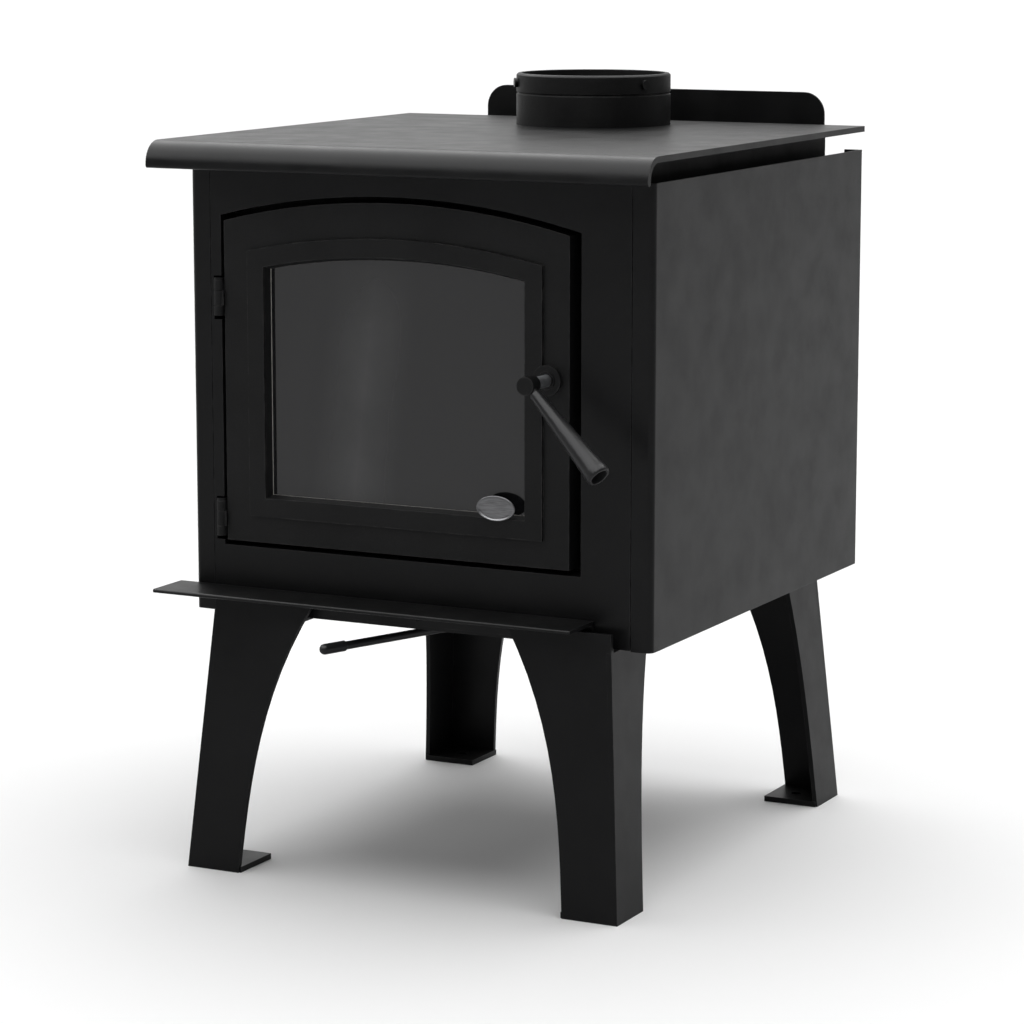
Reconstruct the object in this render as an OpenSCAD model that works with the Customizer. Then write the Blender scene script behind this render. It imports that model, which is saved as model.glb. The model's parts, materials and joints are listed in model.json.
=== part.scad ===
// Free-standing wood stove: a brick-lined steel firebox on four splayed legs,
// with side, rear and bottom heat shields and an arched, glazed, hinged door.
//
// +X is to the right of someone who faces the door, +Y runs to the back, +Z is up.
// Origin: on the floor, in the middle of the stove's plan.
// Inside the modules, y = 0 is the stove's front face (see from_front).

/* [Body] */
// Width over the two side shields
body_w = 513; // [500:1:530]
// Depth from the front face to the back edge of the side shields
body_d = 536; // [530:1:545]
// Height of the side shields' bottom edge above the floor
shield_bottom = 261; // [262:1:275]
// Height of the side shields' top edge above the floor
shield_top = 713; // [690:1:720]
// Thickness of the shield sheet
shield_t = 2; // [1:0.5:3]
// Air gap between the firebox and each side shield
side_gap = 25; // [20:1:30]
// Steel thickness of the firebox walls
wall_t = 5; // [4:1:6]

/* [Top plate and flue] */
// Height of the cooking surface above the floor
top_z = 741; // [735:1:750]
// Thickness of the top plate
top_t = 6; // [5:1:8]
// How far the top plate passes the side shields
top_side_over = 18; // [10:1:25]
// How far the top plate passes the front face
top_front_over = 54.5; // [45:0.5:60]
// Height of the top plate's folded front edge
nose_h = 27; // [22:1:30]
// Inside radius of the flue collar, for a 6 inch pipe
flue_r = 76.5; // [70:0.5:80]
// Wall of the flue collar
collar_t = 6; // [5:0.5:8]
// How far the steel under the collar reaches inwards, as a ledge for the pipe
flue_ledge = 6; // [3:1:10]
// Height of the flue collar
collar_h = 54.5; // [45:0.5:65]
// Distance of the flue centre from the front face
flue_y = 403; // [395:1:405]

/* [Door] */
// Half of the door's width
door_half_w = 193; // [191:1:195]
// Height of the door's bottom edge
door_bottom = 335; // [333:1:338]
// Height of the door's arched top at its middle
door_peak = 684; // [682:1:686]
// Rise of the arch over the door's corners
door_rise = 24; // [20:1:28]
// Sideways place of the door's middle
door_x = -25; // [-26:1:-24]
// Thickness of the door casting
door_t = 24; // [23:1:25]

/* [Handle] */
// Length of the handle from the spindle to its open end
grip_len = 122; // [100:1:125]
// Angle of the closed handle below the horizontal
grip_droop = 41.4; // [35:0.1:45]
// Angle by which the handle leans away from the door
grip_lean = 13.8; // [8:0.1:16]
// Radius of the grip's open end
grip_r = 12; // [10:0.5:13]

/* [Legs] */
// Sideways distance of each foot's outer corner from the middle
foot_x = 243; // [240:1:246]
// Distance of a front foot's outer corner in front of the face
foot_y = 46; // [42:1:50]
// Width of a leg's two wings at the floor
foot_w = 60; // [55:1:62]
// Width of the wide wing at the top of a leg
leg_top_w = 113; // [100:1:130]
// Steel thickness of the legs
leg_t = 5; // [4:1:6]
// Side of the square plate in each foot
foot_plate = 62; // [58:1:70]

/* [Air control] */
// Length of the air lever from its pivot to its tip
lever_len = 187; // [160:1:195]
// Angle of the lever, to the left of straight ahead
lever_turn = 21.2; // [0:0.1:22]

/* [Hidden] */
$fn = 96;
eps = 0.5;

// Heights of the stack, from the legs up
frame_h = 22;
frame_bottom = 262;
frame_top = frame_bottom + frame_h;
box_bottom = frame_top;
box_top = top_z - top_t;
lip_t = 4;

// Depths, from the front face
pocket_d = 30;
landing_t = 6;
box_front = pocket_d + landing_t;
box_back = 496;
box_half_w = body_w / 2 - side_gap - 1.5;
face_half_w = 233.5;
face_t = 6;
pocket_wall = 3;
shield_half_w = body_w / 2;
post_w = shield_half_w - face_half_w - eps;
corner_r = 6;

// Pocket around the door: the gaps at its sides, top and bottom
gap_side = 12.5;
gap_hinge = 3.5;
gap_top = 6;
gap_bottom = 5;
door_r = (door_half_w * door_half_w + door_rise * door_rise) / (2 * door_rise);

// Glass opening: a bevel that narrows towards the glass
glass_half_w = 143;
glass_bottom = 384;
glass_peak = 627;
glass_r = door_r - (door_peak - glass_peak);
bevel_w = 3;
bevel_d = 7;
glass_gasket_t = 1.5;
glass_t = 4;
glass_lap = 9;
glass_y = bevel_d + glass_gasket_t;
retainer_t = 2;

// Rope seal round the door
seal_out = 1.5;
seal_w = 7.5;
seal_depth = 7;
seal_gap = 0.3;
landing_half_w = door_half_w - 11;

// Door hinge
hinge_x = door_x - door_half_w - gap_side / 2;
barrel_r = 5.5;
pin_r = 3;
pin_play = 0.06;
hinge_zs = [357, 582];
barrel_h = 36;
door_knuckle_h = 15.4;
knuckle_gap = 0.3;

// Latch spindle, in the middle of the right stile
spindle_x = 145;
spindle_z = 520;
spindle_r = 6;
spindle_play = 0.06;
fit_play = 0.02;
hub_y = -42;
hub_r = 9;
hub_h = 16;
arm_r = 4.5;
grip_edge = 2;
bush_r = 9;
boss_r = 15;
boss_h = 4;
cam_t = 6;
cam_y = box_front + 1;
cam_reach = 10.5;

// Rear shield
rear_y = 556;
rear_half_w = 205;
rear_top = 772;
rear_corner = 24;
screw_head_h = 3;

// Legs
leg_top_x = 223;
leg_top_y = 20;
leg_top_back = 503;
wing_top = 280;
leg_mid_y = (leg_top_back - leg_top_y) / 2;
frame_front = face_t + eps;
frame_back = 2 * leg_mid_y - frame_front;
lean_x = atan((foot_x - leg_top_x) / frame_bottom);
lean_y = atan((foot_y - leg_top_y) / frame_bottom);
foot_t = 6;
flange_t = 6;
anchor_r = 5.5;
anchor_in = 35;
leg_bolt_in = [30, 62];

// Firebrick lining
brick_t = 30;
brick_gap = 1;
brick_h = 229;
brick_z = box_bottom + wall_t;

// Baffle over four air tubes
tube_z = 622;
tube_r = 11;
baffle_t = 25;
blanket_t = 12;
baffle_y = 130;

// Air box and its turning damper
air_y = 100;
air_half = [60, 70];
air_bottom = 256;
air_t = 3;
port_r = 13;
port_ring = 37;
disc_r = 54;
disc_t = 3;
disc_top = air_bottom - eps;
pivot_r = 4;
lever_r = 4.2;
knob_r = 5.4;
knob_len = 30;
lever_z = disc_top - disc_t - lever_r;

// Front and rear ends of the whole stove, which put the origin in its middle
front_reach = -hub_y + (grip_len - grip_edge) * sin(grip_lean) + grip_r * cos(grip_lean);
rear_reach = rear_y + screw_head_h;
front_y = (front_reach - rear_reach) / 2;

steel = "#2b2c2e";
black = "#1c1d1f";
zinc = "#8e9296";
brick = "#c9b48c";
fibre = "#d9d4c6";

// ---------------------------------------------------------------- helpers

// Puts y = 0 on the front face
module from_front() translate([0, front_y, 0]) children();

// Puts a piece at the door's place when the door is shut
module on_door() from_front() translate([door_x, 0, 0]) children();

// A copy on each side
module both_sides() {
    children();
    mirror([1, 0, 0]) children();
}

// Box from its lowest and highest corners
module span(low, high) translate(low) cube(high - low);

// Flat outline with an arched top of radius r, drawn in X and Z
module arch_2d(half_w, bottom, peak, r) {
    intersection() {
        translate([-half_w, bottom]) square([2 * half_w, peak - bottom]);
        translate([0, peak - r]) circle(r = r, $fn = 360);
    }
}

// The same outline as a plate from y = y0 to y = y1
module arch_plate(half_w, bottom, peak, r, y0, y1) {
    translate([0, y1, 0]) rotate([90, 0, 0]) linear_extrude(y1 - y0)
        arch_2d(half_w, bottom, peak, r);
}

// Plate in the door's own outline, drawn in by inset
module door_shape(inset, y0, y1) {
    arch_plate(door_half_w - inset, door_bottom + inset, door_peak - inset, door_r - inset, y0, y1);
}

// Plate in the glass opening's outline, grown by extra
module glass_shape(extra, y0, y1) {
    arch_plate(glass_half_w + extra, glass_bottom - extra, glass_peak + extra, glass_r + extra, y0, y1);
}

// Rod along Y, from y0 to y1
module rod_y(r, y0, y1) translate([0, y0, 0]) rotate([-90, 0, 0]) cylinder(r = r, h = y1 - y0);

// Rod along X, from x0 to x1
module rod_x(r, x0, x1) translate([x0, 0, 0]) rotate([0, 90, 0]) cylinder(r = r, h = x1 - x0);

// Hexagon head with a round shank, pointing up from z = 0
module hex_bolt(head_r, head_h, shank_r, shank_h) {
    cylinder(r = head_r, h = head_h, $fn = 6);
    translate([0, 0, head_h - eps]) cylinder(r = shank_r, h = shank_h + eps);
}

// ------------------------------------------------------------ firebox

module firebox_shell() {
    color(steel) from_front() difference() {
        span([-box_half_w, box_front, box_bottom], [box_half_w, box_back, box_top]);
        span([-box_half_w + wall_t, box_front - 1, box_bottom + wall_t],
            [box_half_w - wall_t, box_back - wall_t, box_top - wall_t]);
        translate([0, flue_y, box_top - wall_t - 1]) cylinder(r = flue_r - flue_ledge, h = wall_t + 2);
        translate([0, box_front + 18, box_bottom - 1]) cylinder(r = 12, h = wall_t + 2);
    }
}

// Front wall of the firebox, with the opening for logs; the door seals on it
module door_landing() {
    inset = door_half_w - landing_half_w;
    color(steel) from_front() difference() {
        span([-box_half_w, pocket_d, box_bottom], [box_half_w, box_front, box_top]);
        translate([door_x, 0, 0]) door_shape(inset, pocket_d - 1, box_front + 1);
    }
}

// Outline of the pocket that the door sits in, grown by extra; its gap is thin on the hinge side
module pocket_shape(extra, y0, y1) {
    intersection() {
        arch_plate(door_half_w + gap_side + extra, door_bottom - gap_bottom - extra,
            door_peak + gap_top + extra, door_r + gap_side + extra, y0, y1);
        span([-door_half_w - gap_hinge - extra, y0 - 1, 0], [shield_half_w, y1 + 1, top_z]);
    }
}

// Recess in the pocket's side for each hinge, grown by extra
module hinge_recesses(extra, y0, y1) {
    half_h = 22 + extra;
    left = -door_half_w - gap_side - extra;
    for (z = hinge_zs) span([left, y0, z - half_h], [-door_half_w, y1, z + half_h]);
}

module front_surround() {
    lap_w = 7;
    color(steel) from_front() difference() {
        union() {
            span([-face_half_w, 0, frame_bottom], [face_half_w, face_t, box_top]);
            span([-face_half_w - lap_w, shield_t + eps, frame_bottom],
                [face_half_w + lap_w, face_t, frame_top]);
            translate([door_x, 0, 0]) {
                pocket_shape(pocket_wall, face_t - eps, pocket_d);
                hinge_recesses(pocket_wall, face_t - eps, pocket_d);
            }
        }
        translate([door_x, 0, 0]) {
            pocket_shape(0, -1, pocket_d + 1);
            hinge_recesses(0, -1, pocket_d + 1);
        }
        at_lip_screws() rod_y(2.6, -1, face_t + 1);
    }
}

// Steel plate whose front edge folds down in a round nose
module top_plate() {
    half_w = shield_half_w + top_side_over;
    fold_r = 23;
    color(steel) from_front() difference() {
        translate([-half_w, 0, 0]) rotate([90, 0, 90]) linear_extrude(2 * half_w) {
            translate([-top_front_over + fold_r, top_z - top_t])
                square([box_back + top_front_over - fold_r, top_t]);
            translate([-top_front_over + fold_r, top_z - fold_r]) intersection() {
                difference() {
                    circle(r = fold_r);
                    circle(r = fold_r - top_t);
                }
                translate([-fold_r, 0]) square(fold_r);
            }
            translate([-top_front_over, top_z - nose_h + top_t / 2])
                square([top_t, nose_h - fold_r - top_t / 2]);
            translate([-top_front_over + top_t / 2, top_z - nose_h + top_t / 2]) circle(r = top_t / 2);
        }
        translate([0, flue_y, top_z - top_t - 1]) cylinder(r = flue_r + collar_t + seal_gap, h = top_t + 2);
    }
}

// Two-band ring that a flue pipe drops into; it stands on the firebox, in a hole in the top plate
collar_r = flue_r + collar_t;
collar_band = 20;
collar_screw_turns = [-24, 96, 216];
collar_screw_z = top_z + collar_h - collar_band / 2;
collar_screw_r = 3;

module flue_collar() {
    groove_w = 2;
    groove_d = 1.2;
    chamfer = 2;
    full_h = collar_h + top_t;
    groove_z = full_h - collar_band;
    color(black) from_front() translate([0, flue_y, box_top]) difference() {
        rotate_extrude() polygon([[flue_r, 0], [collar_r, 0], [collar_r, groove_z - groove_w],
            [collar_r - groove_d, groove_z - groove_w], [collar_r - groove_d, groove_z],
            [collar_r, groove_z], [collar_r, full_h - chamfer], [collar_r - chamfer, full_h],
            [flue_r, full_h]]);
        for (turn = collar_screw_turns)
            translate([0, 0, full_h - collar_band / 2]) rotate([0, 90, turn])
                translate([0, 0, flue_r - 2]) cylinder(r = collar_screw_r, h = collar_t + 4);
    }
}

// Screws through the collar, which pinch the pipe
module collar_screws() {
    color(black) from_front() translate([0, flue_y, collar_screw_z]) for (turn = collar_screw_turns)
        rotate([0, 90, turn]) {
            translate([0, 0, flue_r + eps]) cylinder(r = collar_screw_r - 0.05, h = collar_t);
            translate([0, 0, collar_r]) cylinder(r = 5, h = 3.5);
        }
}

// ------------------------------------------------------------ shields

// Sheet with a front post and a rear return, both folded inwards
module side_shield() {
    return_w = 20;
    outer = shield_half_w;
    translate([0, 0, shield_bottom]) linear_extrude(shield_top - shield_bottom) difference() {
        union() {
            translate([outer - post_w, 0]) square([post_w - corner_r, body_d]);
            translate([outer - corner_r, corner_r]) square([corner_r, body_d - corner_r]);
            translate([outer - corner_r, corner_r]) circle(r = corner_r);
        }
        translate([outer - post_w - 1, shield_t]) square([post_w + 1 - corner_r, body_d - 2 * shield_t]);
        translate([outer - corner_r - eps, corner_r])
            square([corner_r + eps - shield_t, body_d - shield_t - corner_r]);
        translate([outer - corner_r, corner_r]) circle(r = corner_r - shield_t);
        translate([outer - post_w - 1, body_d - shield_t - 1]) square([post_w + 1 - return_w, shield_t + 2]);
    }
}

module side_shield_right() color(steel) from_front() side_shield();

module side_shield_left() color(steel) from_front() mirror([1, 0, 0]) side_shield();

// Round stand-offs that hold the side shields off the firebox
module side_spacers() {
    color(zinc) from_front() both_sides()
        for (y = [110, 420], z = [350, 640])
            translate([0, y, z]) rod_x(8, box_half_w, shield_half_w - shield_t);
}

rear_spacer_x = 150;
rear_spacer_zs = [360, 640];

module rear_shield() {
    lower = 290;
    color(black) from_front() difference() {
        union() {
            span([-rear_half_w, rear_y - shield_t, lower], [rear_half_w, rear_y, rear_top - rear_corner]);
            span([-rear_half_w + rear_corner, rear_y - shield_t, lower],
                [rear_half_w - rear_corner, rear_y, rear_top]);
            both_sides() translate([rear_half_w - rear_corner, 0, rear_top - rear_corner])
                rod_y(rear_corner, rear_y - shield_t, rear_y);
        }
        both_sides() for (z = rear_spacer_zs)
            translate([rear_spacer_x, 0, z]) rod_y(3.2, rear_y - shield_t - 1, rear_y + 1);
    }
}

module rear_spacers() {
    color(zinc) from_front() both_sides() for (z = rear_spacer_zs)
        translate([rear_spacer_x, 0, z]) difference() {
            rod_y(8, box_back, rear_y - shield_t);
            rod_y(3, rear_y - shield_t - 14, rear_y);
        }
}

module rear_screws() {
    color(black) from_front() both_sides() for (z = rear_spacer_zs)
        translate([rear_spacer_x, 0, z]) {
            rod_y(2.95, rear_y - shield_t - 12, rear_y + eps);
            rod_y(6, rear_y, rear_y + screw_head_h);
        }
}

// ------------------------------------------------------------ base and legs

// Welded frame between the firebox and the legs, behind the surround's lower edge
rail_w = 23;
leg_bolt_ys = [frame_front + rail_w / 2, frame_back - rail_w / 2];

module base_frame() {
    color(steel) from_front() difference() {
        span([-leg_top_x, frame_front, frame_bottom], [leg_top_x, frame_back, frame_top]);
        span([-leg_top_x + rail_w, frame_front + rail_w, frame_bottom - 1],
            [leg_top_x - rail_w, frame_back - rail_w, frame_top + 1]);
        for (sx = [-1, 1], y = leg_bolt_ys, in = leg_bolt_in)
            translate([sx * (leg_top_x - in), y, frame_bottom - 1]) cylinder(r = 5.2, h = frame_h - 5);
    }
}

bottom_shield_z = 272;
bottom_spacer_x = 140;
bottom_spacer_ys = [60, 410];

// Sheet under the firebox, with a window for the air box
module bottom_shield() {
    inside = leg_top_x - rail_w - 2;
    color(black) from_front() difference() {
        span([-inside, frame_front + rail_w + 2, bottom_shield_z],
            [inside, frame_back - rail_w - 2, bottom_shield_z + shield_t]);
        span([-air_half.x - 1, air_y - air_half.y - 1, bottom_shield_z - 1],
            [air_half.x + 1, air_y + air_half.y + 1, bottom_shield_z + shield_t + 1]);
    }
}

module bottom_spacers() {
    color(zinc) from_front() for (sx = [-1, 1], y = bottom_spacer_ys)
        translate([sx * bottom_spacer_x, y, bottom_shield_z + shield_t])
            cylinder(r = 7, h = box_bottom - bottom_shield_z - shield_t);
}

lip_screw_xs = [-190, 0, 160];
lip_screw_z = 275;
lip_right = 195;

// Where the ash lip's screws go, on its flange
module at_lip_screws() for (x = lip_screw_xs) translate([x, 0, lip_screw_z]) children();

// Shelf under the door that catches ash, on a flange; it stops short of the right post
module ash_lip() {
    left = -shield_half_w - top_side_over;
    edge_r = lip_t / 2;
    flange_h = 18;
    back = -seal_gap;
    color(steel) from_front() difference() {
        union() {
            span([left, -top_front_over + edge_r, frame_top], [lip_right, back, frame_top + lip_t]);
            translate([0, -top_front_over + edge_r, frame_top + edge_r]) rod_x(edge_r, left, lip_right);
            span([-leg_top_x, back - lip_t, frame_top - flange_h], [lip_right, back, frame_top + eps]);
        }
        at_lip_screws() rod_y(2.6, back - lip_t - 1, 1);
    }
}

// Screws through the lip's flange into the surround
module ash_lip_screws() {
    face = -seal_gap - lip_t;
    color(black) from_front() at_lip_screws() {
        rod_y(2.5, face - eps, face_t - eps);
        rod_y(4.6, face - 2.4, face);
    }
}

// Half-width profile of a leg wing: narrow at the floor, sweeping wide at the top
function wing_w(t, top_w) = foot_w + (top_w - foot_w) * pow(t, 2.9);
wing_steps = 12;

// Wing outline: u runs along the floor from the outer corner inwards, v up the slope
module wing_2d(h, shift, top_w) {
    outer = [[0, 0], [shift, h]];
    inner = [for (i = [wing_steps:-1:0])
        let (t = i / wing_steps) [shift * t + wing_w(t, top_w), h * t]];
    polygon(concat(outer, inner));
}

// Right front leg: a wide wing across the front, up to the ash lip, and a narrow one along the side
module leg_right_front() {
    side_top_w = 84;
    wing_shift = (foot_x - leg_top_x) * wing_top / (frame_bottom + 2);
    difference() {
        union() {
            translate([foot_x, -foot_y, 0]) rotate([-lean_y, 0, 0]) translate([0, leg_t, 0])
                rotate([90, 0, 0]) mirror([1, 0, 0]) linear_extrude(leg_t)
                    wing_2d(wing_top / cos(lean_y), wing_shift, leg_top_w);
            difference() {
                translate([foot_x, -foot_y, 0]) rotate([0, -lean_x, 0]) translate([-leg_t, 0, 0])
                    rotate([90, 0, 90]) linear_extrude(leg_t)
                        wing_2d((frame_bottom + 2) / cos(lean_x), foot_y - leg_top_y, side_top_w);
                span([0, -100, frame_bottom], [300, 200, frame_bottom + 20]);
            }
            span([foot_x - foot_plate, -foot_y + 2, 0], [foot_x - 2, -foot_y + foot_plate, foot_t]);
            span([leg_top_x - 90, -leg_top_y + 1, frame_bottom - flange_t],
                [leg_top_x - 1, frame_front + rail_w, frame_bottom]);
        }
        span([0, -100, -20], [300, 200, 0]);
        translate([foot_x - anchor_in, -foot_y + anchor_in, -1]) cylinder(r = anchor_r, h = foot_t + 2);
        for (in = leg_bolt_in)
            translate([leg_top_x - in, leg_bolt_ys[0], frame_bottom - flange_t - 1])
                cylinder(r = 5.2, h = flange_t + 2);
    }
}

module mirror_back() translate([0, 2 * leg_mid_y, 0]) mirror([0, 1, 0]) children();

module leg_front_right() color(steel) from_front() leg_right_front();

module leg_front_left() color(steel) from_front() mirror([1, 0, 0]) leg_right_front();

module leg_rear_right() color(steel) from_front() mirror_back() leg_right_front();

module leg_rear_left() color(steel) from_front() mirror_back() mirror([1, 0, 0]) leg_right_front();

module leg_bolts() {
    head_h = 6.4;
    color(black) from_front()
        for (sx = [-1, 1], y = leg_bolt_ys, in = leg_bolt_in)
            translate([sx * (leg_top_x - in), y, frame_bottom - flange_t - head_h])
                hex_bolt(9.2, head_h, 5, 18);
}

// ------------------------------------------------------------ lining and baffle

inner_half_w = box_half_w - wall_t;
inner_back = box_back - wall_t;

module bricks_floor() {
    cols = 2;
    rows = 4;
    front = box_front + 36;
    w = 2 * inner_half_w / cols;
    d = (inner_back - front) / rows;
    color(brick) from_front() for (i = [0:cols - 1], j = [0:rows - 1])
        span([-inner_half_w + i * w + brick_gap / 2, front + j * d + brick_gap / 2, brick_z],
            [-inner_half_w + (i + 1) * w - brick_gap / 2, front + (j + 1) * d - brick_gap / 2,
                brick_z + brick_t]);
}

// Four bricks stand on end along a side wall
module side_bricks() {
    count = 4;
    front = box_front + 36;
    d = (inner_back - brick_t - front) / count;
    for (j = [0:count - 1])
        span([inner_half_w - brick_t, front + j * d + brick_gap / 2, brick_z + brick_t],
            [inner_half_w - 0.2, front + (j + 1) * d - brick_gap / 2, brick_z + brick_t + brick_h]);
}

module bricks_right() color(brick) from_front() side_bricks();

module bricks_left() color(brick) from_front() mirror([1, 0, 0]) side_bricks();

module bricks_rear() {
    count = 3;
    w = 2 * (inner_half_w - brick_gap) / count;
    color(brick) from_front() for (i = [0:count - 1])
        span([-inner_half_w + brick_gap + i * w + brick_gap / 2, inner_back - brick_t, brick_z + brick_t],
            [-inner_half_w + brick_gap + (i + 1) * w - brick_gap / 2, inner_back - 0.2,
                brick_z + brick_t + brick_h]);
}

manifold_w = 18;
tube_ys = [165, 255, 345, 435];

// Hollow side rails that feed the air tubes
module air_manifolds() {
    half_h = 16;
    sheet = 2;
    color(steel) from_front() both_sides() difference() {
        span([inner_half_w - manifold_w, baffle_y, tube_z - half_h],
            [inner_half_w, inner_back - 12, tube_z + half_h]);
        span([inner_half_w - manifold_w + sheet, baffle_y + sheet, tube_z - half_h + sheet],
            [inner_half_w - sheet, inner_back - 12 - sheet, tube_z + half_h - sheet]);
        for (y = tube_ys) translate([0, y, tube_z])
            rod_x(tube_r - 2, inner_half_w - manifold_w - 1, inner_half_w - manifold_w + sheet + 1);
    }
}

// Tubes with a row of jets along the lower front of each
module air_tubes() {
    half_l = inner_half_w - manifold_w;
    jets = 8;
    color(zinc) from_front() for (y = tube_ys) translate([0, y, tube_z]) difference() {
        rod_x(tube_r, -half_l, half_l);
        rod_x(tube_r - 2, -half_l - 1, half_l + 1);
        for (i = [0:jets - 1])
            translate([(i - (jets - 1) / 2) * 2 * half_l / (jets + 1), 0, 0]) rotate([135, 0, 0])
                cylinder(r = 2.5, h = tube_r + 2, $fn = 24);
    }
}

module baffle_board() {
    half_w = inner_half_w - manifold_w - 3;
    low = tube_z + tube_r;
    color(brick) from_front() span([-half_w, baffle_y, low], [half_w, inner_back - 2, low + baffle_t]);
}

module baffle_blanket() {
    half_w = inner_half_w - manifold_w - 8;
    low = tube_z + tube_r + baffle_t;
    color(fibre) from_front()
        span([-half_w, baffle_y + 6, low], [half_w, inner_back - 6, low + blanket_t]);
}

// ------------------------------------------------------------ air control

module air_box() {
    color(steel) from_front() difference() {
        span([-air_half.x, air_y - air_half.y, air_bottom], [air_half.x, air_y + air_half.y, box_bottom]);
        span([-air_half.x + air_t, air_y - air_half.y + air_t, air_bottom + air_t],
            [air_half.x - air_t, air_y + air_half.y - air_t, box_bottom + 1]);
        for (sx = [-1, 1]) translate([sx * port_ring, air_y, air_bottom - 1])
            cylinder(r = port_r, h = air_t + 2);
        translate([0, air_y, air_bottom - 1]) cylinder(r = pivot_r + fit_play, h = air_t + 2);
    }
}

pivot_head_h = 4;
pivot_head_top = disc_top - disc_t - 0.3;

module damper_pivot() {
    color(zinc) from_front() translate([0, air_y, pivot_head_top - pivot_head_h]) {
        cylinder(r = 8, h = pivot_head_h);
        cylinder(r = pivot_r, h = air_bottom + air_t + 8 - pivot_head_top + pivot_head_h);
    }
}

module pivot_nut() {
    color(zinc) from_front() translate([0, air_y, air_bottom + air_t]) difference() {
        cylinder(r = 8.1, h = 6.5, $fn = 6);
        translate([0, 0, -1]) cylinder(r = pivot_r + fit_play, h = 9);
    }
}

// Puts a piece that points along -Y in the lever's direction, about the pivot
module on_lever(z) from_front() translate([0, air_y, z]) rotate([0, 0, -lever_turn]) children();

// Round damper whose two ports line up with the air box at rest
module damper_disc() {
    color(zinc) from_front() translate([0, air_y, disc_top - disc_t]) difference() {
        cylinder(r = disc_r, h = disc_t);
        for (sx = [-1, 1]) translate([sx * port_ring, 0, -1]) cylinder(r = port_r, h = disc_t + 2);
        translate([0, 0, -1]) cylinder(r = pivot_r + pin_play, h = disc_t + 2);
    }
}

module air_lever() {
    color(black) on_lever(lever_z) rod_y(lever_r, -lever_len + 6, -14);
}

module air_knob() {
    color(black) on_lever(lever_z) translate([0, -lever_len, 0]) rotate([-90, 0, 0]) difference() {
        rotate_extrude() {
            translate([0, knob_r]) intersection() {
                circle(r = knob_r);
                translate([0, -knob_r]) square(knob_r);
            }
            translate([0, knob_r]) square([knob_r, knob_len - knob_r]);
        }
        translate([0, 0, 6 - fit_play]) cylinder(r = lever_r + fit_play, h = knob_len);
    }
}

// ------------------------------------------------------------ hinges

// Fixed knuckles above and below each door knuckle, on an arm from the pocket wall
module hinge_brackets() {
    lug_h = (barrel_h - door_knuckle_h) / 2 - knuckle_gap;
    wall_x = door_x - door_half_w - gap_side;
    color(black) from_front() for (z = hinge_zs) difference() {
        union() {
            span([wall_x, 8, z - barrel_h / 2], [wall_x + 2.2, 26, z + barrel_h / 2]);
            for (low = [z - barrel_h / 2, z + barrel_h / 2 - lug_h]) {
                translate([hinge_x, 0, low]) cylinder(r = barrel_r, h = lug_h);
                span([wall_x, 0, low], [hinge_x, 8 + eps, low + lug_h]);
            }
        }
        translate([hinge_x, 0, z - barrel_h]) cylinder(r = pin_r + fit_play, h = 2 * barrel_h);
    }
}

// Loose pins with a button head on top
module hinge_pins() {
    color(black) from_front() for (z = hinge_zs)
        translate([hinge_x, 0, z - barrel_h / 2]) {
            cylinder(r = pin_r, h = barrel_h);
            translate([0, 0, barrel_h]) cylinder(r = barrel_r - 0.5, h = 2.5);
        }
}

// ------------------------------------------------------------ door

// Cutter for the glass opening: wide at the face, narrow at the glass
module bevel_cutter() {
    over = 1;
    slope = bevel_w / bevel_d;
    wide = bevel_w + over * slope;
    intersection() {
        linear_extrude(door_peak) polygon([[-glass_half_w - wide, -over], [glass_half_w + wide, -over],
            [glass_half_w, bevel_d], [-glass_half_w, bevel_d]]);
        translate([-door_half_w, 0, 0]) rotate([90, 0, 90]) linear_extrude(2 * door_half_w)
            polygon([[-over, glass_bottom - wide], [bevel_d, glass_bottom], [bevel_d, door_peak],
                [-over, door_peak]]);
        translate([0, -over, glass_peak - glass_r]) rotate([-90, 0, 0])
            cylinder(r1 = glass_r + wide, r2 = glass_r, h = bevel_d + over, $fn = 360);
    }
}

bezel_w = 19;
bezel_h = 3;

module door_frame() {
    spindle_dx = spindle_x - door_x;
    color(steel) on_door() difference() {
        union() {
            door_shape(0, 0, door_t);
            glass_shape(bevel_w + bezel_w, -bezel_h, eps);
            translate([spindle_dx, 0, spindle_z]) rod_y(boss_r, -boss_h, eps);
            for (z = hinge_zs) {
                translate([hinge_x - door_x, 0, z - door_knuckle_h / 2])
                    cylinder(r = barrel_r, h = door_knuckle_h);
                span([hinge_x - door_x, -3, z - door_knuckle_h / 2],
                    [-door_half_w + eps, 3, z + door_knuckle_h / 2]);
            }
        }
        bevel_cutter();
        translate([0, -bezel_h - 1, 0]) glass_front_cut();
        glass_shape(0, bevel_d - eps, door_t + 1);
        glass_shape(glass_lap + 1, bevel_d, door_t + 1);
        difference() {
            door_shape(seal_out, door_t - seal_depth, door_t + 1);
            door_shape(seal_out + seal_w, door_t - seal_depth - 1, door_t + 2);
        }
        translate([spindle_dx, 0, spindle_z]) rod_y(bush_r + spindle_play, -10, door_t + 1);
        for (z = hinge_zs)
            translate([hinge_x - door_x, 0, z - barrel_h]) cylinder(r = pin_r + pin_play, h = 2 * barrel_h);
    }
}

// Straight part of the opening through the raised bezel
module glass_front_cut() glass_shape(bevel_w, 0, bezel_h + 1 + eps / 2);

// Rope seal in the groove at the back of the door
module door_gasket() {
    play = 0.3;
    color(fibre) on_door() difference() {
        door_shape(seal_out + play, door_t - seal_depth + play, pocket_d - seal_gap);
        door_shape(seal_out + seal_w - play, door_t - seal_depth - 1, pocket_d + 1);
    }
}

// Flat seals in front of the glass and behind it
module glass_gasket() {
    color(fibre) on_door() difference() {
        union() {
            glass_shape(glass_lap, bevel_d, glass_y);
            glass_shape(glass_lap, glass_y + glass_t, door_t);
        }
        glass_shape(0, bevel_d - 1, door_t + 1);
    }
}

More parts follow.
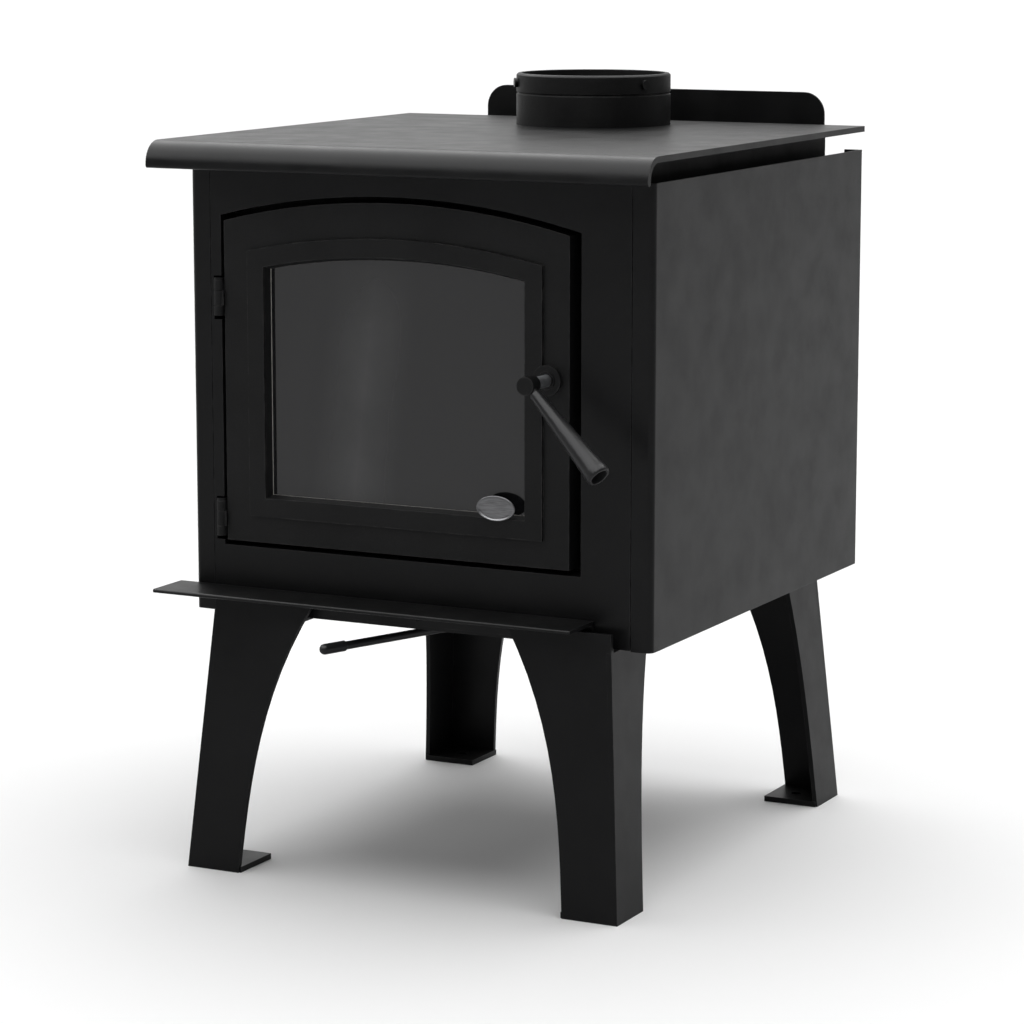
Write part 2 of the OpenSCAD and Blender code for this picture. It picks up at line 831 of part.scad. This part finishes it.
module door_glass() color("#30363a") on_door() glass_shape(glass_lap, glass_y, glass_y + glass_t);

retainer_screw_xs = [-100, 0, 100];
retainer_screw_zs = [450, 560];
retainer_rim = 10;

// Where the retainer's screws go, on its rim
module at_retainer_screws() {
    mid = glass_lap + 5;
    for (x = retainer_screw_xs) translate([x, 0, glass_bottom - mid]) children();
    for (sx = [-1, 1], z = retainer_screw_zs) translate([sx * (glass_half_w + mid), 0, z]) children();
}

// Sheet ring that clamps the glass from behind
module glass_retainer() {
    color(black) on_door() difference() {
        glass_shape(glass_lap + retainer_rim, door_t, door_t + retainer_t);
        glass_shape(-4, door_t - 1, door_t + retainer_t + 1);
        at_retainer_screws() rod_y(2.6, door_t - 1, door_t + retainer_t + 1);
    }
}

module retainer_screws() {
    color(zinc) on_door() at_retainer_screws() rod_y(4.4, door_t + retainer_t, door_t + retainer_t + 2.2);
}

// Plain oval plate whose lower edge is fixed to the bezel, low on the right of the glass
module badge_plate() {
    badge_w = 42;
    badge_h = 25;
    badge_t = 1.6;
    color("#b9bcbf") from_front() translate([90, -bezel_h - badge_t, 391])
        rotate([-90, 0, 0]) linear_extrude(badge_t)
            polygon([for (i = [0:63]) [badge_w / 2 * cos(i * 5.625), badge_h / 2 * sin(i * 5.625)]]);
}

// ------------------------------------------------------------ latch and handle

module at_spindle() from_front() translate([spindle_x, 0, spindle_z]) children();

module latch_bush() {
    color(steel) at_spindle() difference() {
        rod_y(bush_r, -boss_h - 1, door_t);
        rod_y(spindle_r + spindle_play, -boss_h - 2, door_t + 1);
    }
}

module latch_spindle() color(zinc) at_spindle() rod_y(spindle_r, hub_y - 4, cam_y + cam_t + 7);

// Puts a piece that points along +Z in the grip's direction, from the spindle
module along_grip() {
    at_spindle() translate([0, hub_y, 0]) rotate([0, grip_droop, 0]) rotate([0, 0, -grip_lean])
        rotate([0, 90, 0]) children();
}

arm_len = 62;

// Cast hub with the rod that the grip slides over
module handle_arm() {
    color(black) difference() {
        union() {
            at_spindle() rod_y(hub_r, hub_y - hub_h / 2, hub_y + hub_h / 2);
            along_grip() cylinder(r = arm_r, h = arm_len);
        }
        at_spindle() rod_y(spindle_r + fit_play, hub_y - 4 - fit_play, hub_y + hub_h);
    }
}

// Tapered sleeve, hollow at its wide end
module handle_grip() {
    start = 12;
    throat = arm_len + 2;
    lip = grip_r - 3.2;
    color(black) along_grip() rotate_extrude() polygon([[arm_r + fit_play, start], [6, start],
        [grip_r - 0.8, grip_len - 14], [grip_r, grip_len - 6], [grip_r, grip_len - grip_edge],
        [grip_r - 1.2, grip_len], [lip, grip_len], [lip - 1.5, throat + 14], [arm_r + fit_play, throat]]);
}

// Short lobe behind the door that turns past the keeper
module latch_cam() {
    color(zinc) at_spindle() difference() {
        union() {
            rod_y(8.5, cam_y, cam_y + cam_t);
            span([0, cam_y, -5], [cam_reach, cam_y + cam_t, 5]);
        }
        rod_y(spindle_r + fit_play, cam_y - 1, cam_y + cam_t + 1);
    }
}

module cam_nut() {
    color(zinc) at_spindle() translate([0, cam_y + cam_t, 0]) rotate([-90, 0, 0]) difference() {
        cylinder(r = 10, h = 6, $fn = 6);
        translate([0, 0, -1]) cylinder(r = spindle_r + fit_play, h = 8);
    }
}

keeper_x = door_x + landing_half_w + 3;
keeper_z_half = 24;

// Block on the back of the landing that the cam bears against
module latch_keeper() {
    color(zinc) from_front() difference() {
        span([keeper_x, box_front, spindle_z - keeper_z_half],
            [keeper_x + 22, box_front + 8, spindle_z + keeper_z_half]);
        for (sz = [-1, 1]) translate([keeper_x + 12, 0, spindle_z + sz * 14])
            rod_y(2.6, box_front - 1, box_front + 9);
    }
}

module keeper_screws() {
    color(zinc) from_front() for (sz = [-1, 1]) translate([keeper_x + 12, 0, spindle_z + sz * 14]) {
        rod_y(2.5, box_front + eps, box_front + 8 + eps);
        rod_y(4.6, box_front + 8, box_front + 11);
    }
}

firebox_shell();
door_landing();
front_surround();
top_plate();
flue_collar();
collar_screws();
side_shield_left();
side_shield_right();
side_spacers();
rear_shield();
rear_spacers();
rear_screws();
base_frame();
bottom_shield();
bottom_spacers();
ash_lip();
ash_lip_screws();
leg_front_left();
leg_front_right();
leg_rear_left();
leg_rear_right();
leg_bolts();
bricks_floor();
bricks_left();
bricks_right();
bricks_rear();
air_manifolds();
air_tubes();
baffle_board();
baffle_blanket();
air_box();
damper_pivot();
pivot_nut();
damper_disc();
air_lever();
air_knob();
hinge_brackets();
hinge_pins();
latch_keeper();
keeper_screws();
door_frame();
door_gasket();
glass_gasket();
door_glass();
glass_retainer();
retainer_screws();
badge_plate();
latch_bush();
latch_spindle();
handle_arm();
handle_grip();
latch_cam();
cam_nut();
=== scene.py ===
"""The looks of a steel wood stove: finishes for the CAD pieces, finer small parts, light and camera."""
import json
import math

import bmesh
import bpy
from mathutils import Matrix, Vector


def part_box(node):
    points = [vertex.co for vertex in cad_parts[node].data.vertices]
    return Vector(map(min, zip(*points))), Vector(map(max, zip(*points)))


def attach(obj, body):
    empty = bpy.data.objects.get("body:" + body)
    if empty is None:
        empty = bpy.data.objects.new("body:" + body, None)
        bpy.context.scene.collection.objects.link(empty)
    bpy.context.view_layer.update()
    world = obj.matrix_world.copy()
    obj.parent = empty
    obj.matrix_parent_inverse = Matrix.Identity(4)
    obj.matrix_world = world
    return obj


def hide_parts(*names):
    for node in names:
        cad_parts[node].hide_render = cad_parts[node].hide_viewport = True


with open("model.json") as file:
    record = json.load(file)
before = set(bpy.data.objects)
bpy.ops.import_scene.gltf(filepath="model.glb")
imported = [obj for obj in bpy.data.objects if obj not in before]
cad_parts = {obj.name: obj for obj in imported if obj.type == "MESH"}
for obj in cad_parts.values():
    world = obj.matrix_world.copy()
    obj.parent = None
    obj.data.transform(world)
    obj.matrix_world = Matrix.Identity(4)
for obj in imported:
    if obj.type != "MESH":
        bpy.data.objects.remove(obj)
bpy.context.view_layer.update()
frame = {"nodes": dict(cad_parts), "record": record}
nodes = frame["nodes"]
MM = 0.001
face_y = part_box("front_surround")[0].y


# ---------------------------------------------------------------- node helpers

class Shader:
    """A material's node tree around one Principled shader."""

    def __init__(self, name):
        self.material = bpy.data.materials.new(name)
        self.material.use_nodes = True
        self.tree = self.material.node_tree
        self.bsdf = self.tree.nodes["Principled BSDF"]
        self.place = self.node("ShaderNodeTexCoord").outputs["Object"]

    def node(self, kind, **settings):
        made = self.tree.nodes.new(kind)
        for key, value in settings.items():
            setattr(made, key, value)
        return made

    def link(self, source, target):
        self.tree.links.new(source, target)

    def fix(self, socket, value):
        self.bsdf.inputs[socket].default_value = value

    def noise(self, scale, detail=3.0, roughness=0.55, stretch=(1, 1, 1)):
        """Noise of features about 1 / scale metres wide, drawn out by stretch."""
        made = self.node("ShaderNodeTexNoise")
        made.inputs["Scale"].default_value = scale
        made.inputs["Detail"].default_value = detail
        made.inputs["Roughness"].default_value = roughness
        if stretch == (1, 1, 1):
            self.link(self.place, made.inputs["Vector"])
        else:
            mapping = self.node("ShaderNodeMapping")
            mapping.inputs["Scale"].default_value = stretch
            self.link(self.place, mapping.inputs["Vector"])
            self.link(mapping.outputs["Vector"], made.inputs["Vector"])
        return made.outputs["Fac"]

    def ramp(self, value, low, high, to_low=0.0, to_high=1.0):
        """Carries low..high over to to_low..to_high, and holds it there beyond."""
        made = self.node("ShaderNodeMapRange", clamp=True)
        for key, number in (("From Min", low), ("From Max", high), ("To Min", to_low), ("To Max", to_high)):
            made.inputs[key].default_value = number
        self.link(value, made.inputs["Value"])
        return made.outputs["Result"]

    def math(self, operation, *values):
        """One arithmetic step on sockets or numbers."""
        made = self.node("ShaderNodeMath", operation=operation)
        for socket, value in zip(made.inputs, values):
            if isinstance(value, (int, float)):
                socket.default_value = value
            else:
                self.link(value, socket)
        return made.outputs["Value"]

    def mix(self, factor, a, b):
        """Mixes two colours, each a socket or three numbers."""
        made = self.node("ShaderNodeMix", data_type="RGBA")
        self.link(factor, made.inputs["Factor"])
        for socket, value in ((made.inputs[6], a), (made.inputs[7], b)):
            if isinstance(value, (tuple, list)):
                socket.default_value = (*value, 1.0)
            else:
                self.link(value, socket)
        return made.outputs[2]

    def colour(self, source):
        self.link(source, self.bsdf.inputs["Base Color"])

    def rough(self, source):
        self.link(source, self.bsdf.inputs["Roughness"])

    def bump(self, *layers):
        """Each layer is (height socket, its depth in metres)."""
        last = None
        for height, depth in layers:
            made = self.node("ShaderNodeBump")
            made.inputs["Distance"].default_value = depth
            self.link(height, made.inputs["Height"])
            if last is not None:
                self.link(last, made.inputs["Normal"])
            last = made.outputs["Normal"]
        self.link(last, self.bsdf.inputs["Normal"])

    def edge_mask(self, radius):
        """About 1 on outer edges rounded within radius, and 0 on open faces."""
        rounded = self.node("ShaderNodeBevel", samples=4)
        rounded.inputs["Radius"].default_value = radius
        true_normal = self.node("ShaderNodeNewGeometry").outputs["Normal"]
        dot = self.node("ShaderNodeVectorMath", operation="DOT_PRODUCT")
        self.link(rounded.outputs["Normal"], dot.inputs[0])
        self.link(true_normal, dot.inputs[1])
        return self.ramp(dot.outputs["Value"], 0.995, 0.86)

    def facing_up(self):
        """1 on level surfaces, falling to 0 on upright ones."""
        split = self.node("ShaderNodeSeparateXYZ")
        self.link(self.node("ShaderNodeNewGeometry").outputs["Normal"], split.inputs["Vector"])
        return self.ramp(split.outputs["Z"], 0.55, 0.95)


# ---------------------------------------------------------------- finishes

def black_coat(name, colours, rough, ior, wear_colour, edge, skin):
    """Black stove coating: faint clouding, a fine tooth, edges rubbed towards grey and dust on level tops.

    Colours are its darkest and lightest clouds, rough the range of its roughness, edge how far the rubbing
    reaches, and skin a list of (noise scale, depth) of its surface.
    """
    s = Shader(name)
    dark, light = colours
    base = s.mix(s.ramp(s.noise(9, 4, 0.6), 0.32, 0.68), dark, light)
    fleck = s.ramp(s.noise(900, 2, 0.7), 0.5, 0.8)
    base = s.mix(s.math("MULTIPLY", fleck, 0.3), base, tuple(2.2 * c for c in light))
    dust = s.math("MULTIPLY", s.facing_up(), s.ramp(s.noise(22, 5, 0.65), 0.4, 0.8, 0.0, 0.25))
    base = s.mix(dust, base, (0.045, 0.044, 0.042))
    wear = s.math("MULTIPLY", s.edge_mask(edge), s.ramp(s.noise(60, 4, 0.7), 0.42, 0.62))
    s.colour(s.mix(s.math("MULTIPLY", wear, 0.75), base, wear_colour))
    s.rough(s.ramp(s.noise(26, 4, 0.6), 0.3, 0.7, *rough))
    s.fix("IOR", ior)
    s.bump((s.noise(5, 2), 1.0 * MM), *((s.noise(scale, 3, 0.6), depth) for scale, depth in skin))
    return s.material


def painted_steel():
    """Satin black stove paint on folded sheet."""
    clouds = (0.0050, 0.0051, 0.0054), (0.0075, 0.0076, 0.0080)
    return black_coat("stove_paint", clouds, (0.30, 0.40), 1.20, (0.040, 0.040, 0.041), 1.4 * MM,
                      [(1500, 0.04 * MM)])


def dull_steel():
    """The same paint on the firebox walls, dulled by heat."""
    clouds = (0.0050, 0.0050, 0.0052), (0.0080, 0.0080, 0.0082)
    return black_coat("heat_dulled_paint", clouds, (0.58, 0.68), 1.18, (0.040, 0.040, 0.041), 1.4 * MM,
                      [(1500, 0.04 * MM)])


def cast_iron():
    """Matt black on sand-cast iron, with a grainy skin."""
    clouds = (0.0050, 0.0051, 0.0053), (0.0080, 0.0081, 0.0084)
    return black_coat("cast_iron_paint", clouds, (0.40, 0.52), 1.20, (0.050, 0.049, 0.048), 1.8 * MM,
                      [(620, 0.16 * MM), (180, 0.10 * MM)])


def grip_paint():
    """Smoother black on the parts that are held, polished by use."""
    clouds = (0.011, 0.011, 0.012), (0.017, 0.017, 0.018)
    return black_coat("grip_paint", clouds, (0.26, 0.36), 1.25, (0.070, 0.070, 0.070), 1.4 * MM,
                      [(1100, 0.03 * MM)])


def zinc_steel():
    """Dull zinc plate with a fine grain and grey bloom."""
    s = Shader("zinc_steel")
    s.fix("Metallic", 1.0)
    bloom = s.ramp(s.noise(160, 4, 0.65), 0.3, 0.7)
    s.colour(s.mix(bloom, (0.30, 0.31, 0.32), (0.46, 0.47, 0.49)))
    s.rough(s.ramp(s.noise(220, 3, 0.6), 0.3, 0.7, 0.32, 0.52))
    s.bump((s.noise(1800, 2, 0.6, stretch=(1, 1, 0.2)), 0.03 * MM))
    return s.material


def firebrick():
    """Pale vermiculite brick, sooted in clouds, with a gritty open face."""
    s = Shader("firebrick")
    grit = s.ramp(s.noise(420, 4, 0.7), 0.35, 0.7)
    base = s.mix(grit, (0.30, 0.235, 0.155), (0.52, 0.43, 0.31))
    soot = s.ramp(s.noise(7, 5, 0.65), 0.38, 0.66)
    s.colour(s.mix(s.math("MULTIPLY", soot, 0.75), base, (0.045, 0.040, 0.036)))
    s.rough(s.ramp(grit, 0, 1, 0.82, 0.95))
    s.bump((s.noise(70, 4, 0.6), 0.7 * MM), (s.noise(650, 3, 0.7), 0.5 * MM))
    return s.material


def ceramic_fibre():
    """White fibre felt and braid, greyed by ash."""
    s = Shader("ceramic_fibre")
    fibre = s.ramp(s.noise(700, 4, 0.7, stretch=(1, 1, 0.25)), 0.3, 0.7)
    base = s.mix(fibre, (0.44, 0.42, 0.38), (0.66, 0.64, 0.60))
    s.colour(s.mix(s.ramp(s.noise(18, 4), 0.45, 0.75, 0, 0.5), base, (0.20, 0.19, 0.18)))
    s.rough(s.ramp(fibre, 0, 1, 0.88, 0.98))
    s.fix("Sheen Weight", 0.15)
    s.bump((fibre, 0.4 * MM))
    return s.material


def stove_glass():
    """Ceramic fire glass, glossy and almost opaque. Its near-black colour is painted shade of the unlit
    firebox behind it, with a thin bloom of smoke on its inner face.
    """
    s = Shader("fire_glass")
    low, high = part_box("door_glass")
    span = high - low
    across = s.node("ShaderNodeMapping", vector_type="POINT")
    across.inputs["Location"].default_value = (-low.x / span.x, 0, -low.z / span.z)
    across.inputs["Scale"].default_value = (1 / span.x, 0, 1 / span.z)
    s.link(s.place, across.inputs["Vector"])
    split = s.node("ShaderNodeSeparateXYZ")
    s.link(across.outputs["Vector"], split.inputs["Vector"])
    # a plume that drifts to the right as it climbs
    plume_foot, plume_drift, plume_half_w = 0.33, 0.10, 0.16
    middle = s.math("MULTIPLY_ADD", split.outputs["Z"], plume_drift, plume_foot)
    away = s.math("ABSOLUTE", s.math("SUBTRACT", split.outputs["X"], middle))
    plume = s.ramp(away, plume_half_w, 0.0)
    fade = s.ramp(split.outputs["Z"], 1.0, 0.72)
    wisps = s.ramp(s.noise(16, 5, 0.6), 0.2, 0.75, 0.55, 1.0)
    haze = s.math("MULTIPLY", s.math("MULTIPLY", plume, fade), wisps)
    # near-black base: painted shade of the dark firebox seen through the glass; the lighter plume is a
    # bloom of smoke
    s.colour(s.mix(haze, (0.010, 0.010, 0.011), (0.045, 0.045, 0.046)))
    s.rough(s.ramp(s.noise(30, 3), 0.3, 0.7, 0.04, 0.09))
    # almost no see-through, so the painted shade stands in for the firebox behind
    s.link(s.ramp(haze, 0, 1, 0.970, 0.985), s.bsdf.inputs["Alpha"])
    s.fix("IOR", 1.42)
    s.bump((s.noise(7, 2), 0.15 * MM))
    return s.material


def badge_metal():
    """Satin aluminium of the oval plate."""
    s = Shader("badge_metal")
    s.fix("Metallic", 1.0)
    grain = s.noise(900, 2, 0.6, stretch=(0.08, 1, 1))
    s.colour(s.mix(s.ramp(grain, 0.3, 0.7), (0.09, 0.09, 0.093), (0.145, 0.145, 0.15)))
    s.rough(s.ramp(grain, 0.3, 0.7, 0.28, 0.42))
    s.bump((grain, 0.03 * MM))
    return s.material


FINISHES = {
    "painted_steel": painted_steel(),
    "cast_iron": cast_iron(),
    "black_grip": grip_paint(),
    "zinc_steel": zinc_steel(),
    "firebrick": firebrick(),
    "ceramic_fibre": ceramic_fibre(),
    "glass": stove_glass(),
    "badge": badge_metal(),
}
HEAT_DULLED = dict.fromkeys(("firebox_shell", "door_landing"), dull_steel())
SLOT_OF = {part["node"]: part["material_slot"] for part in frame["record"]["subparts"]}


# ---------------------------------------------------------------- CAD pieces

def geometry_group(name, build):
    """A geometry node group that passes its geometry through build(tree, socket)."""
    tree = bpy.data.node_groups.new(name, "GeometryNodeTree")
    tree.interface.new_socket("Geometry", in_out="INPUT", socket_type="NodeSocketGeometry")
    tree.interface.new_socket("Geometry", in_out="OUTPUT", socket_type="NodeSocketGeometry")
    start = tree.nodes.new("NodeGroupInput").outputs[0]
    end = tree.nodes.new("NodeGroupOutput").inputs[0]
    tree.links.new(build(tree, start), end)
    return tree


def joined_up(tree, geometry):
    """Drops the stored normals and joins the corners that share a place."""
    drop = tree.nodes.new("GeometryNodeRemoveAttribute")
    drop.inputs["Name"].default_value = "custom_normal"
    tree.links.new(geometry, drop.inputs["Geometry"])
    merge = tree.nodes.new("GeometryNodeMergeByDistance")
    merge.inputs["Distance"].default_value = 0.005 * MM
    tree.links.new(drop.outputs["Geometry"], merge.inputs["Geometry"])
    return merge.outputs["Geometry"]


def smooth_by_angle(tree, geometry):
    """Shades everything smooth and keeps edges of over 32 degrees sharp."""
    smooth = tree.nodes.new("GeometryNodeSetShadeSmooth")
    smooth.domain = "FACE"
    tree.links.new(geometry, smooth.inputs["Geometry"])
    angle = tree.nodes.new("GeometryNodeInputMeshEdgeAngle")
    steep = tree.nodes.new("ShaderNodeMath")
    steep.operation = "GREATER_THAN"
    steep.inputs[1].default_value = math.radians(32)
    tree.links.new(angle.outputs["Unsigned Angle"], steep.inputs[0])
    sharp = tree.nodes.new("GeometryNodeSetShadeSmooth")
    sharp.domain = "EDGE"
    sharp.inputs["Shade Smooth"].default_value = False
    tree.links.new(smooth.outputs["Geometry"], sharp.inputs["Geometry"])
    tree.links.new(steep.outputs[0], sharp.inputs["Selection"])
    return sharp.outputs["Geometry"]


JOIN_UP = geometry_group("join_up", joined_up)
SMOOTH = geometry_group("smooth_by_angle", smooth_by_angle)


def ease_edges(piece, width):
    """Breaks a piece's sharp edges by width, as paint and casting do, and keeps its flat faces flat."""
    piece.modifiers.new("join_up", "NODES").node_group = JOIN_UP
    if piece.name in WHOLE_FACED:
        plain = piece.modifiers.new("whole_faces", "DECIMATE")
        plain.decimate_type = "DISSOLVE"
        plain.angle_limit = math.radians(0.2)
    bevel = piece.modifiers.new("eased_edges", "BEVEL")
    bevel.width = width
    bevel.segments = 2
    bevel.limit_method = "ANGLE"
    bevel.angle_limit = math.radians(38)
    bevel.use_clamp_overlap = True
    piece.modifiers.new("smooth", "NODES").node_group = SMOOTH
    flat = piece.modifiers.new("flat_faces", "WEIGHTED_NORMAL")
    flat.keep_sharp = True


EDGE_WIDTH = {
    "painted_steel": 0.5 * MM,
    "cast_iron": 1.0 * MM,
    "firebrick": 1.6 * MM,
    "zinc_steel": 0.25 * MM,
    "black_grip": 0.4 * MM,
    "ceramic_fibre": 0.5 * MM,
    "glass": 0.4 * MM,
}
NODE_EDGE_WIDTH = {"door_frame": 2.0 * MM, "front_surround": 1.5 * MM, "top_plate": 0.8 * MM}
DRAWN_AGAIN = ("badge_plate", "door_gasket")
# Nodes whose flat faces are made whole before the easing, so that no seam of a triangle shows
WHOLE_FACED = ("front_surround",)

for name, piece in nodes.items():
    slot = SLOT_OF[name]
    piece.data.materials.clear()
    piece.data.materials.append(HEAT_DULLED.get(name, FINISHES[slot]))
    if name not in DRAWN_AGAIN:
        ease_edges(piece, NODE_EDGE_WIDTH.get(name, EDGE_WIDTH[slot]))


# ---------------------------------------------------------------- finer pieces

def new_piece(name, mesh, slot, body):
    """A smooth piece of a slot's finish that rides a body."""
    mesh.materials.append(FINISHES[slot])
    for face in mesh.polygons:
        face.use_smooth = True
    piece = bpy.data.objects.new(name, mesh)
    bpy.context.scene.collection.objects.link(piece)
    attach(piece, body)
    return piece


def loft(name, rings, loop=False):
    """Joins rings of equally many points into one skin: capped, or with loop closed on itself."""
    count = len(rings[0])
    points = [point for ring in rings for point in ring]
    faces = []
    pairs = list(zip(range(len(rings) - 1), range(1, len(rings))))
    if loop:
        pairs.append((len(rings) - 1, 0))
    for a, b in pairs:
        for i in range(count):
            j = (i + 1) % count
            faces.append((a * count + i, a * count + j, b * count + j, b * count + i))
    if not loop:
        faces.append(tuple(range(count)))
        faces.append(tuple(reversed(range((len(rings) - 1) * count, len(rings) * count))))
    mesh = bpy.data.meshes.new(name)
    mesh.from_pydata(points, [], faces)
    bm = bmesh.new()
    bm.from_mesh(mesh)
    bmesh.ops.recalc_face_normals(bm, faces=bm.faces)
    bm.to_mesh(mesh)
    bm.free()
    return mesh


def badge():
    """Plain oval plate with a raised rim and a slightly domed field."""
    low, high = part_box("badge_plate")
    middle = (low + high) / 2
    half = (high - low) / 2
    sides = 72
    # From the back's edge over the rim to the middle: share of the radius, share of the thickness
    back_edge = [(0.96, 0.0), (1.0, 0.1)]
    rim = [(1.0, 0.8), (0.975, 1.0), (0.92, 1.0), (0.89, 0.62)]
    dome = [(0.7, 0.72), (0.4, 0.86), (0.12, 0.92)]
    rings = []
    for reach, height in back_edge + rim + dome:
        rings.append([(middle.x + reach * half.x * math.cos(a), high.y - height * (high.y - low.y),
                       middle.z + reach * half.z * math.sin(a))
                      for a in (math.tau * i / sides for i in range(sides))])
    piece = new_piece("badge_oval", loft("badge_oval", rings), "badge", "door")
    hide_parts("badge_plate")


# Radius of the outer edge of the seal's arch, which runs level with the top of the door
SEAL_ARCH_RADIUS = 0.7862


def seal_path(step):
    """Points along the middle of the door's seal, going round once, and the depth at which it lies."""
    low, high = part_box("door_gasket")
    inset = 3.45 * MM
    left, right = low.x + inset, high.x - inset
    bottom, peak = low.z + inset, high.z - inset
    radius = SEAL_ARCH_RADIUS - inset
    middle = (left + right) / 2
    half = (right - left) / 2
    shoulder = peak - radius + math.sqrt(radius ** 2 - half ** 2)
    corner = 5 * MM
    corner_steps = 5
    outline = []

    def line(x0, z0, x1, z1):
        length = math.hypot(x1 - x0, z1 - z0)
        for i in range(max(1, round(length / step))):
            t = i * step / length
            outline.append((x0 + t * (x1 - x0), z0 + t * (z1 - z0)))

    def bend(cx, cz, start):
        for i in range(corner_steps):
            a = math.radians(start + 90 / corner_steps * i)
            outline.append((cx + corner * math.cos(a), cz + corner * math.sin(a)))

    line(left + corner, bottom, right - corner, bottom)
    bend(right - corner, bottom + corner, -90)
    line(right, bottom + corner, right, shoulder - corner)
    span_angle = math.asin((half - corner) / radius)
    steps = round(2 * span_angle * radius / step)
    for i in range(steps + 1):
        a = span_angle - 2 * span_angle * i / steps
        outline.append((middle + radius * math.sin(a), peak - radius + radius * math.cos(a)))
    line(left, shoulder - corner, left, bottom + corner)
    bend(left + corner, bottom + corner, 180)
    return outline, (low.y + high.y) / 2


def rope_seal():
    """Twisted three-strand fibre rope in the groove at the back of the door."""
    outline, y = seal_path(2.2 * MM)
    low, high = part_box("door_gasket")
    half_w = 3.2 * MM
    half_d = 0.97 * (high.y - low.y) / 2
    sides = 18
    strands = 3
    turns = 70
    furrow = 0.13
    count = len(outline)
    rings = []
    for k, (x, z) in enumerate(outline):
        before, after = outline[k - 1], outline[(k + 1) % count]
        dx, dz = after[0] - before[0], after[1] - before[1]
        length = math.hypot(dx, dz)
        out_x, out_z = dz / length, -dx / length  # square to the path, in the door's plane
        ring = []
        for i in range(sides):
            a = math.tau * i / sides
            lay = math.cos(strands * a - math.tau * turns * k / count)
            swell = 1 - furrow * (0.5 - 0.5 * lay)
            across, deep = half_w * swell * math.cos(a), half_d * swell * math.sin(a)
            ring.append((x + out_x * across, y + deep, z + out_z * across))
        rings.append(ring)
    piece = new_piece("rope_seal", loft("rope_seal", rings, loop=True), "ceramic_fibre", "door")
    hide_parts("door_gasket")


badge()
rope_seal()


# ---------------------------------------------------------------- light, floor, camera

# Brightness of the surroundings: behind the stove, from its left to its right; on its left; in front of it
# at the horizon; and overhead
BACK = (0.76, 0.17)
LEFT = 0.7
FRONT = 0.06
TOP = 0.22

# Brightness of the card that hangs overhead and is seen only in reflections
CARD_GLOW = 6.0


def studio_world():
    """Soft surroundings: dark in front of the stove, bright behind it and on its left."""
    world = bpy.data.worlds.new("studio")
    bpy.context.scene.world = world
    world.use_nodes = True
    tree = world.node_tree
    background = tree.nodes["Background"]

    def add(kind, **settings):
        made = tree.nodes.new(kind)
        for key, value in settings.items():
            setattr(made, key, value)
        return made

    split = add("ShaderNodeSeparateXYZ")
    tree.links.new(add("ShaderNodeTexCoord").outputs["Generated"], split.inputs["Vector"])

    def ramp(value, low, high, to_low, to_high):
        made = add("ShaderNodeMapRange", clamp=True, interpolation_type="SMOOTHSTEP")
        for key, number in (("From Min", low), ("From Max", high), ("To Min", to_low), ("To Max", to_high)):
            made.inputs[key].default_value = number
        tree.links.new(value, made.inputs["Value"])
        return made.outputs["Result"]

    def join(operation, a, b):
        made = add("ShaderNodeMath", operation=operation)
        tree.links.new(a, made.inputs[0])
        tree.links.new(b, made.inputs[1])
        return made.outputs["Value"]

    to_right = ramp(split.outputs["X"], -0.5, 0.6, *BACK)
    behind = join("MULTIPLY", ramp(split.outputs["Y"], -0.1, 0.7, 0.0, 1.0), to_right)
    left = ramp(split.outputs["X"], -0.95, -0.55, LEFT, 0.0)
    total = join("ADD", join("MAXIMUM", behind, left), ramp(split.outputs["Z"], 0.0, 0.7, FRONT, TOP))
    background.inputs["Color"].default_value = (1, 1, 1, 1)
    tree.links.new(total, background.inputs["Strength"])


def level_sheet(name, x0, x1, y0, y1, z, material):
    """A level rectangle of the studio, which isn't part of the stove."""
    mesh = bpy.data.meshes.new(name)
    mesh.from_pydata([(x0, y0, z), (x1, y0, z), (x1, y1, z), (x0, y1, z)], [], [(0, 1, 2, 3)])
    mesh.materials.append(material)
    sheet = bpy.data.objects.new(name, mesh)
    bpy.context.scene.collection.objects.link(sheet)
    return sheet


def pale_floor():
    """Matt, almost white floor that runs on past the picture's top."""
    s = Shader("pale_floor")
    s.colour(s.mix(s.noise(0.6, 2), (0.86, 0.86, 0.86), (0.88, 0.88, 0.88)))
    s.rough(s.ramp(s.noise(3, 2), 0.3, 0.7, 0.85, 0.9))
    s.fix("Specular IOR Level", 0.2)
    reach = 60
    level_sheet("floor", -reach, reach, -reach, reach, 0, s.material)


def overhead_box():
    """One very wide, soft light from above, leaning a little to the right and to the back."""
    sun = bpy.data.lights.new("overhead_box", "SUN")
    sun.energy = 2.62
    sun.angle = math.radians(74)
    overhead = bpy.data.objects.new("overhead_box", sun)
    bpy.context.scene.collection.objects.link(overhead)
    overhead.rotation_euler = (math.radians(-8), math.radians(5), 0)


def overhead_card():
    """A bright card that only glossy surfaces see, for the light band along the top plate's nose."""
    glow = bpy.data.materials.new("card_glow")
    glow.use_nodes = True
    shader = glow.node_tree.nodes["Principled BSDF"]
    shader.inputs["Base Color"].default_value = (0, 0, 0, 1)
    shader.inputs["Emission Color"].default_value = (1, 1, 1, 1)
    shader.inputs["Emission Strength"].default_value = CARD_GLOW
    card = level_sheet("overhead_card", -5, 2, -5.2, 3, 3.2, glow)
    for ray in ("camera", "diffuse", "transmission", "volume_scatter", "shadow"):
        setattr(card, "visible_" + ray, False)


def camera():
    """Looks at the stove from the right of its front, slightly from above, with a long lens."""
    data = bpy.data.cameras.new("camera")
    data.sensor_width = 36
    data.lens = 123.4
    right, ahead, height = 1.628, 3.009, 0.964
    down, left = math.radians(9.69), math.radians(26.83)
    made = bpy.data.objects.new("camera", data)
    bpy.context.scene.collection.objects.link(made)
    made.location = (right, face_y - ahead, height)
    made.rotation_euler = (math.radians(90) - down, 0, left)
    bpy.context.scene.camera = made


studio_world()
pale_floor()
overhead_box()
overhead_card()
camera()
bpy.context.scene.view_settings.view_transform = "Standard"
